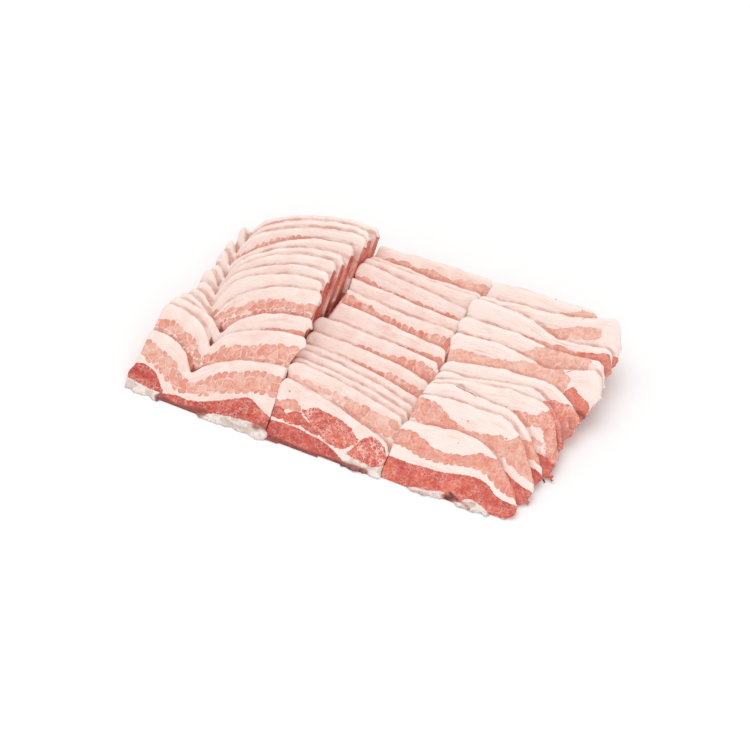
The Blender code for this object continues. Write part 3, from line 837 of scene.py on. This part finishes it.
meatLook = {
    "fat pale": (0.91, 0.765, 0.705, 1), "fat pink": (0.87, 0.60, 0.52, 1),
    "fat cream": (0.85, 0.57, 0.47, 1), "fat grey": (0.70, 0.52, 0.49, 1),
    "fat line": (0.76, 0.42, 0.34, 1),
    "lean": [
        (0.0, (0.88, 0.58, 0.48, 1)), (0.18, (0.81, 0.445, 0.345, 1)), (0.34, (0.745, 0.32, 0.232, 1)),
        (0.6, (0.72, 0.155, 0.10, 1)), (0.82, (0.50, 0.055, 0.035, 1)), (1.0, (0.27, 0.02, 0.014, 1)),
    ],
    "vein": (0.88, 0.62, 0.54, 1),
    "film": (0.86, 0.80, 0.75, 1), "film pink": (0.82, 0.62, 0.56, 1), "film crease shade": (0.50, 0.35, 0.29, 1),
    "stainAndShade": (0.10, 0.016, 0.013, 1), "darkRedAndShade": (0.42, 0.10, 0.075, 1), "seatShade": (0.55, 0.20, 0.15, 1),
    "roughness": 0.42, "roughness drop": 0.1, "roughness rise": 0.14, "shine": 0.42,
    "softness": 0.16, "soft reach": 0.0015, "soft colours": (1.0, 0.42, 0.3),
    "darkest tone": 0.74, "past darkest": 0.45, "lobe random": 0.75, "bump": 0.6, "bump depth": 0.0004,
}


# Lobes with rounded corners: how far a point is inside its lobe, and the lobe's own tone.
def drawLobes(s, look, grain):
    place = s.shaken(s.value("cells", "Vector"), grain, 0.35, 2.0, (0.30, 0.36, 0.1))
    place = s.shaken(place, grain, 0.9, 2.0, (0.12, 0.16, 0.1))
    random = look["lobe random"]
    straight = s.times(s.voronoi(place, 1.0, random=random, size="2D"), 5.5)
    rounded = s.line(s.voronoi(place, 1.0, "F1", random, size="2D"), -4.5, 3.3)
    faint = s.swing(s.noise(grain, 0.16, 2.0), -1.0)
    lobeEdge = s.minus(s.least(straight, rounded), s.minus(s.value("seam"), faint))
    return lobeEdge, s.voronoi(place, 1.0, "F1", random, "Color", "2D")


# Lean has a frayed border, notched where two lobes meet.
def drawBorder(s, grain, marble, lobeEdge, lobed):
    border = s.plus(s.value("leanField"), s.swing(s.noise(grain, 0.55, 3.0), 1.0))
    frayed = s.minus(s.noise(s.scaled(grain, (0.5, 1.1, 0.8)), 0.9, 3.0, 0.7), 0.5)
    border = s.plus(border, s.times(frayed, s.spread(marble, 0.2, 0.6, 0.4, 3.0)))
    return s.minus(border, s.times(s.spread(lobeEdge, -0.1, 1.7, 1.35, 0.0), lobed))


# Fat: pale, with pink clouds and faint lines along the slice.
def drawFat(s, look, grain, layers):
    endFade = s.value("endFade")
    blush = s.plus(s.value("blush"), s.swing(s.noise(grain, 0.10, 4.0, 0.6), 1.7))
    fat = s.mixed(s.spread(blush, 0.0, 1.0), look["fat pale"], look["fat pink"])
    streaks = s.spread(s.noise(s.scaled(layers, (0.045, 0.75, 0.5)), 1.0, 3.0, 0.6), 0.54, 0.7, 0.0, 0.75)
    fat = s.mixed(s.times(streaks, endFade), fat, look["fat cream"])
    lines = s.ridge(s.noise(s.scaled(layers, (0.028, 0.36, 0.3)), 1.0, 4.0, 0.62))
    lineMask = s.spread(s.noise(s.scaled(layers, (0.06, 0.12, 0.2)), 1.0, 2.0), 0.4, 0.62, 0.0, 0.55)
    lineMask = s.times(lineMask, endFade)
    fat = s.mixed(s.times(s.spread(lines, 0.0, 0.022, 1.0, 0.0), lineMask), fat, look["fat line"])
    specks = s.noise(s.scaled(layers, (0.25, 0.6, 0.5)), 1.0, 4.0, 0.7)
    return s.mixed(s.spread(specks, 0.62, 0.74, 0.0, 0.4), fat, look["fat grey"])


# Lean's tone from peach to dark red, mottled and finely grained, with painted shade darkening the lobes'
# rims.
def leanTone(s, look, grain, mottle, within, lobeEdge, lobeTone, lobed):
    red = s.value("redness")
    tone = s.plus(red, s.swing(mottle, -0.75))
    tone = s.plus(tone, s.times(s.minus(0.5, s.noise(grain, 1.3, 3.0, 0.7)), s.line(red, 0.25, 0.2)))
    tone = s.plus(tone, s.times(s.minus(0.5, s.noise(grain, 0.10, 2.0)), s.line(red, 0.7, 0.15)))
    # painted shade: darker near the lobes' rims and the lean's border, so the lobes look rounded
    tone = s.plus(tone, s.spread(s.least(within, lobeEdge), 0.15, 1.3, 0.09, 0.0))
    tone = s.plus(tone, s.times(s.swing(lobeTone, 0.26), lobed))
    limit = look["darkest tone"]
    return s.least(tone, s.line(s.minus(tone, limit), look["past darkest"], limit))


# Pale seams between lobes, and veins that get stronger with marble.
def drawVeins(s, look, grain, marble, flesh, lobeEdge, lobed):
    seamLine = s.times(s.spread(lobeEdge, 0.0, 0.5, 0.95, 0.0), lobed)
    patchy = s.spread(s.noise(grain, 0.24, 3.0), 0.38, 0.62, 0.3, 1.0)
    flesh = s.mixed(s.times(seamLine, patchy), flesh, look["vein"])
    bundles = s.spread(s.voronoi(s.shaken(grain, grain, 0.6, 3.0, (3.0,) * 3), 0.4), 0.0, 0.1, 1.0, 0.0)
    faintest = s.times(s.line(marble, 0.5, 0.04), patchy)
    flesh = s.mixed(s.times(bundles, faintest), flesh, look["vein"])
    veins = s.spread(s.voronoi(s.shaken(grain, grain, 0.5, 3.0, (2.2,) * 3), 0.58), 0.02, 0.17, 1.0, 0.0)
    veins = s.times(veins, s.spread(s.noise(grain, 0.22, 2.0), 0.42, 0.62))
    return s.mixed(s.times(veins, marble), flesh, look["vein"])


# Film: whitish and pink, with painted shade in its creases and fold hollows.
def drawFilm(s, look, grain, colour):
    ragged = s.noise(grain, 0.28, 4.0, 0.6)
    film = s.spread(s.plus(s.value("filmField"), s.swing(ragged, 3.6)), -0.3, 0.3)
    pink = s.spread(s.noise(grain, 0.22, 3.0, 0.55), 0.45, 0.7, 0.0, 0.6)
    filmColour = s.mixed(pink, look["film"], look["film pink"])
    # thin grey lines of painted shade, as in the film's creases
    creaseShadeLines = s.ridge(s.noise(s.scaled(grain, (0.7, 1.5, 1.0)), 0.34, 4.0, 0.6))
    filmColour = s.mixed(s.spread(creaseShadeLines, 0.0, 0.03, 0.75, 0.0), filmColour, look["film crease shade"])
    # painted shade in the fold hollows, where the film is pushed in
    filmColour = s.mixed(s.spread(s.value("fold"), 0.0, -0.9, 0.0, 0.5), filmColour, look["film crease shade"])
    return s.mixed(s.times(film, 0.92), colour, filmColour)


# Painted shade, red-brown, where two slices meet; dark red to near black for dark marks, for darker strips
# along some bottom edges and for the painted shade in the creases.
def drawMarks(s, look, layers, mottle, colour):
    seatShade = s.spread(s.noise(s.scaled(layers, (0.12, 0.2, 0.2)), 1.0, 3.0), 0.35, 0.68, 0.1, 0.62)
    # painted shade, patchy and red-brown, where the slice in front meets this one
    colour = s.mixed(s.times(s.value("contactShade"), seatShade), colour, look["seatShade"])
    # dark red, then near black, for dark marks and for the painted crease shade
    stainAndShade = s.spread(s.times(s.value("stainAndShade"), s.line(mottle, 0.8, 0.6)), 0.12, 0.95)
    colour = s.mixed(s.spread(stainAndShade, 0.0, 0.5, 0.0, 0.85), colour, look["darkRedAndShade"])
    return s.mixed(s.spread(stainAndShade, 0.3, 1.0), colour, look["stainAndShade"])


# Lobes stand out a little, and fibres roughen all of it.
def drawBump(s, look, grain, lean, lobeEdge, lobed):
    fibres = s.noise(s.scaled(grain, (0.9, 1.6, 0.6)), 1.6, 2.0, 0.6)
    height = s.line(lean, -0.3, s.times(fibres, 0.3))
    proud = s.times(s.times(s.spread(lobeEdge, -0.1, 1.1), lobed), lean)
    height = s.line(proud, 0.8, height)
    height = s.plus(height, s.times(s.noise(grain, 0.9, 4.0, 0.6), 0.5))
    bump = s.tree.nodes.new("ShaderNodeBump")
    s.join(height, bump.inputs["Height"])
    bump.inputs["Strength"].default_value = look["bump"]
    bump.inputs["Distance"].default_value = look["bump depth"]
    s.join(bump.outputs["Normal"], s.shader.inputs["Normal"])


# Fat, lobed lean, veins and film, drawn on each slice's own cut.
def makeMeat(look):
    s = Shading("rawPorkCut")
    grain, layers = s.value("grain", "Vector"), s.value("edgeGrain", "Vector")
    marble = s.value("marble")
    lobeEdge, lobeTone = drawLobes(s, look, grain)
    lobed = s.spread(s.value("seam"), -0.2, 0.12)
    within = drawBorder(s, grain, marble, lobeEdge, lobed)
    lean = s.spread(within, -0.16, 0.2)
    mottle = s.noise(grain, 0.42, 5.0, 0.65)
    flesh = s.ramp(leanTone(s, look, grain, mottle, within, lobeEdge, lobeTone, lobed), look["lean"])
    flesh = drawVeins(s, look, grain, marble, flesh, lobeEdge, lobed)
    colour = s.mixed(lean, drawFat(s, look, grain, layers), flesh)
    colour = drawFilm(s, look, grain, colour)
    s.join(drawMarks(s, look, layers, mottle, colour), s.shader.inputs["Base Color"])

    least, most = look["roughness"] - look["roughness drop"], look["roughness"] + look["roughness rise"]
    s.join(s.spread(s.noise(grain, 0.3, 4.0, 0.6), 0.3, 0.75, least, most), s.shader.inputs["Roughness"])
    s.shader.inputs["Specular IOR Level"].default_value = look["shine"]
    s.shader.inputs["Subsurface Weight"].default_value = look["softness"]
    s.shader.inputs["Subsurface Radius"].default_value = look["soft colours"]
    s.shader.inputs["Subsurface Scale"].default_value = look["soft reach"]
    drawBump(s, look, grain, lean, lobeEdge, lobed)
    return s.material


floorLook = {"size": 6.0, "below": 0.0002, "dark": (0.90, 0.90, 0.90, 1), "pale": (0.93, 0.93, 0.93, 1)}


def makeFloor():
    bpy.ops.object.select_all(action="DESELECT")
    bpy.ops.mesh.primitive_plane_add(size=floorLook["size"], location=(0, 0, -floorLook["below"]))
    floor = bpy.context.object
    floor.name = "paleFloor"
    s = Shading("paleFloor")
    place = s.tree.nodes.new("ShaderNodeTexCoord").outputs["Object"]
    colour = s.mixed(s.noise(place, 3.0), floorLook["dark"], floorLook["pale"])
    s.join(colour, s.shader.inputs["Base Color"])
    s.shader.inputs["Roughness"].default_value = 0.8
    s.shader.inputs["Specular IOR Level"].default_value = 0.1
    floor.data.materials.append(s.material)


lights = {
    "sky": 0.72,
    "key": {"place": (-0.35, 0.30, 2.0), "size": 1.9, "power": 17.0},
    "fill": {"place": (1.1, -1.2, 1.2), "size": 1.8, "power": 8.5},
}


def addLight(name, place, size, power):
    lamp = bpy.data.lights.new(name, "AREA")
    lamp.size = size
    lamp.energy = power
    holder = bpy.data.objects.new(name, lamp)
    holder.location = place
    holder.rotation_euler = (-Vector(place)).to_track_quat("-Z", "Y").to_euler()
    bpy.context.scene.collection.objects.link(holder)


def lightScene():
    world = bpy.data.worlds.new("studio")
    bpy.context.scene.world = world
    world.use_nodes = True
    sky = world.node_tree.nodes["Background"]
    sky.inputs["Color"].default_value = (1, 1, 1, 1)
    sky.inputs["Strength"].default_value = lights["sky"]
    addLight("keyLight", **lights["key"])
    addLight("fillLight", **lights["fill"])
    bpy.context.scene.view_settings.view_transform = "Standard"


view = {
    "azimuth": 27.0, "elevation": 46.0, "distance": 1.17, "target": (-0.00199, -0.00325, 0.0),
    "lens": 96.0, "sensor": 36.0, "near": 0.05, "far": 20.0,
}


def placeCamera():
    around, above = math.radians(view["azimuth"]), math.radians(view["elevation"])
    level = math.cos(above)
    back = Vector((math.sin(around) * level, -math.cos(around) * level, math.sin(above)))
    lens = bpy.data.cameras.new("photoView")
    lens.lens = view["lens"]
    lens.sensor_width = view["sensor"]
    lens.clip_start, lens.clip_end = view["near"], view["far"]
    camera = bpy.data.objects.new("photoView", lens)
    camera.location = Vector(view["target"]) + view["distance"] * back
    camera.rotation_euler = (-back).to_track_quat("-Z", "Y").to_euler()
    bpy.context.scene.collection.objects.link(camera)
    bpy.context.scene.camera = camera


meat = makeMeat(meatLook)
for column in (leftColumn, middleColumn, rightColumn):
    faces, outline = 0, None
    for index in range(column["count"]):
        piece, outline = carveSlice(column, index, meat, outline)
        faces += len(piece.data.polygons)
    print(column["prefix"], column["count"], "slices,", faces, "faces")

makeFloor()
lightScene()
placeCamera()
print("floor, lights and camera")
